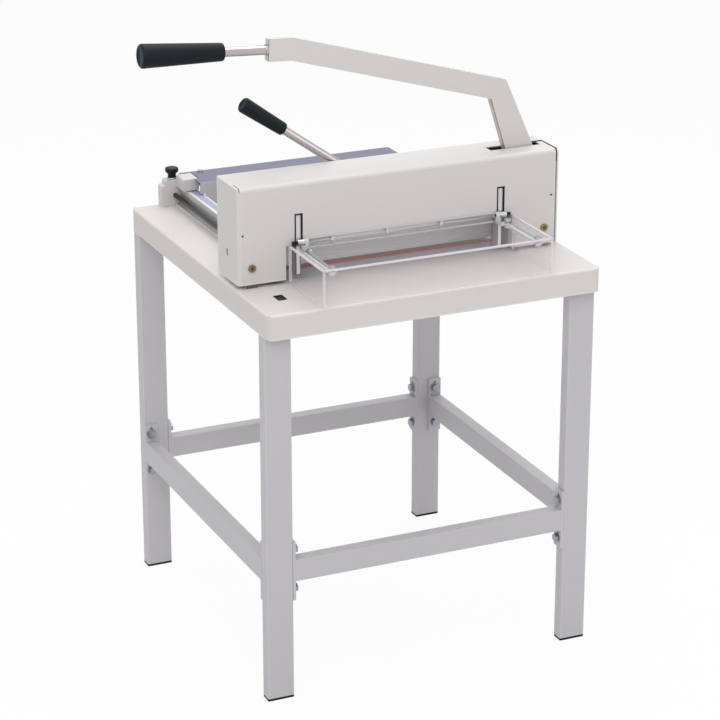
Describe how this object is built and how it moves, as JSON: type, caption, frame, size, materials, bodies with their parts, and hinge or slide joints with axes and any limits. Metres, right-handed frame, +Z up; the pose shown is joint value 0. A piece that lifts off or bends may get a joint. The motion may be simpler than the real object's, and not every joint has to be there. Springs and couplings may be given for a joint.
{
  "type": "stack paper trimmer on a stand",
  "caption": "Manual stack paper cutter on a four-legged tube stand, with a long cranked cutting lever, a clamp lever, a clear tilting guard and a back gauge.",
  "frame": {"origin": "on the floor, below the middle of the whole machine's box at rest", "axes": "+X to the operator's right, +Y to the back, +Z up"},
  "size_m": [0.7895, 0.6958, 1.1772],
  "materials": {
    "table_top": "off-white powder coat",
    "table_plug": "black plastic",
    "table_plate": "ground steel",
    "cutting_stick": "red-orange plastic",
    "table_bolts": "zinc",
    "leg_front_left": "light grey powder coat",
    "leg_front_right": "light grey powder coat",
    "leg_back_left": "light grey powder coat",
    "leg_back_right": "light grey powder coat",
    "foot_caps": "black plastic",
    "stretcher_front": "light grey powder coat",
    "stretcher_back": "light grey powder coat",
    "stretcher_left": "light grey powder coat",
    "stretcher_right": "light grey powder coat",
    "stretcher_bolts": "plated",
    "front_cover": "off-white powder coat",
    "rear_cover": "off-white powder coat",
    "right_end_cover": "off-white powder coat",
    "end_gasket": "dark rubber",
    "cover_brackets": "plain steel",
    "cover_lock_screws": "satin",
    "side_frame_left": "grey paint",
    "side_frame_right": "grey paint",
    "front_beam": "machined",
    "rear_plate": "plain steel",
    "frame_bolts": "zinc",
    "guide_studs": "ground steel",
    "pivot_shaft": "ground steel",
    "guard_posts": "satin",
    "guard_hinge_brackets": "plated",
    "guard_hinge_pins": "black",
    "clear_strip": "clear acrylic",
    "strip_screws": "plated",
    "guide_rod": "ground steel",
    "rod_bracket": "plain steel",
    "base_strip": "off-white",
    "side_lay": "satin",
    "scale_strip": "lavender printed tape, left bare",
    "lever_arm": "off-white powder coat",
    "drive_pin": "ground steel",
    "lever_rod": "nickel plate",
    "lever_grip": "blue-black foam rubber",
    "knife_beam": "machined",
    "blade": "ground tool steel",
    "blade_bolts": "black oxide",
    "clamp_beam": "satin",
    "clamp_pinion": "plain steel",
    "clamp_hub": "nickel plate",
    "clamp_rod": "nickel plate",
    "clamp_grip": "blue-black foam rubber",
    "guard_top": "clear acrylic",
    "guard_front": "clear acrylic",
    "guard_sides": "clear acrylic",
    "guard_arms": "satin",
    "guard_screws": "plated",
    "gauge_block": "off-white",
    "gauge_fence": "slate grey",
    "gauge_screw": "plated",
    "gauge_knob": "black"
  },
  "bodies": {
    "stand_and_frame": {"table_top": "table_top", "table_plug": "table_plug", "table_plate": "table_plate", "cutting_stick": "cutting_stick", "table_bolts": "table_bolts", "leg_front_left": "leg_front_left", "leg_front_right": "leg_front_right", "leg_back_left": "leg_back_left", "leg_back_right": "leg_back_right", "foot_caps": "foot_caps", "stretcher_front": "stretcher_front", "stretcher_back": "stretcher_back", "stretcher_left": "stretcher_left", "stretcher_right": "stretcher_right", "stretcher_bolts": "stretcher_bolts", "front_cover": "front_cover", "rear_cover": "rear_cover", "right_end_cover": "right_end_cover", "end_gasket": "end_gasket", "cover_brackets": "cover_brackets", "cover_lock_screws": "cover_lock_screws", "side_frame_left": "side_frame_left", "side_frame_right": "side_frame_right", "front_beam": "front_beam", "rear_plate": "rear_plate", "frame_bolts": "frame_bolts", "guide_studs": "guide_studs", "pivot_shaft": "pivot_shaft", "guard_posts": "guard_posts", "guard_hinge_brackets": "guard_hinge_brackets", "guard_hinge_pins": "guard_hinge_pins", "clear_strip": "clear_strip", "strip_screws": "strip_screws", "guide_rod": "guide_rod", "rod_bracket": "rod_bracket", "base_strip": "base_strip", "side_lay": "side_lay", "scale_strip": "scale_strip"},
    "cutting_lever": {"lever_arm": "lever_arm", "drive_pin": "drive_pin", "lever_rod": "lever_rod", "lever_grip": "lever_grip"},
    "knife": {"knife_beam": "knife_beam", "blade": "blade", "blade_bolts": "blade_bolts"},
    "clamp": {"clamp_beam": "clamp_beam"},
    "clamp_lever": {"clamp_pinion": "clamp_pinion", "clamp_hub": "clamp_hub", "clamp_rod": "clamp_rod", "clamp_grip": "clamp_grip"},
    "guard": {"guard_top": "guard_top", "guard_front": "guard_front", "guard_sides": "guard_sides", "guard_arms": "guard_arms", "guard_screws": "guard_screws"},
    "back_gauge": {"gauge_block": "gauge_block", "gauge_fence": "gauge_fence", "gauge_screw": "gauge_screw"},
    "gauge_knob": {"gauge_knob": "gauge_knob"}
  },
  "joints": [
    {"name": "lever_swing", "type": "hinge", "parent": "stand_and_frame", "child": "cutting_lever", "pos_m": [0.34234, -0.1416, 0.868], "axis": [0, -1, 0], "range_deg": [0, 20]},
    {"name": "knife_slide", "type": "slide", "parent": "stand_and_frame", "child": "knife", "axis": [0.2588, 0, -0.9659], "range_m": [0, 0.0523]},
    {"name": "clamp_lever_turn", "type": "hinge", "parent": "stand_and_frame", "child": "clamp_lever", "pos_m": [0.07034, -0.0884, 0.856], "axis": [0, 1, 0], "range_deg": [-10, 85]},
    {"name": "clamp_slide", "type": "slide", "parent": "stand_and_frame", "child": "clamp", "axis": [0, 0, 1], "range_m": [-0.00436, 0.03709]},
    {"name": "guard_tilt", "type": "hinge", "parent": "stand_and_frame", "child": "guard", "pos_m": [0.07034, -0.2, 0.8118], "axis": [-1, 0, 0], "range_deg": [0, 85]},
    {"name": "back_gauge_slide", "type": "slide", "parent": "stand_and_frame", "child": "back_gauge", "axis": [0, 1, 0], "range_m": [-0.325, 0]},
    {"name": "gauge_knob_turn", "type": "hinge", "parent": "back_gauge", "child": "gauge_knob", "pos_m": [-0.16624, 0.3316, 0.8], "axis": [0, 0, 1], "range_deg": [0, 270]}
  ],
  "couplings": [
    {"joint": "knife_slide", "follows": "lever_swing", "m_per_rad": 0.14984},
    {"joint": "clamp_slide", "follows": "clamp_lever_turn", "m_per_rad": 0.025}
  ]
}
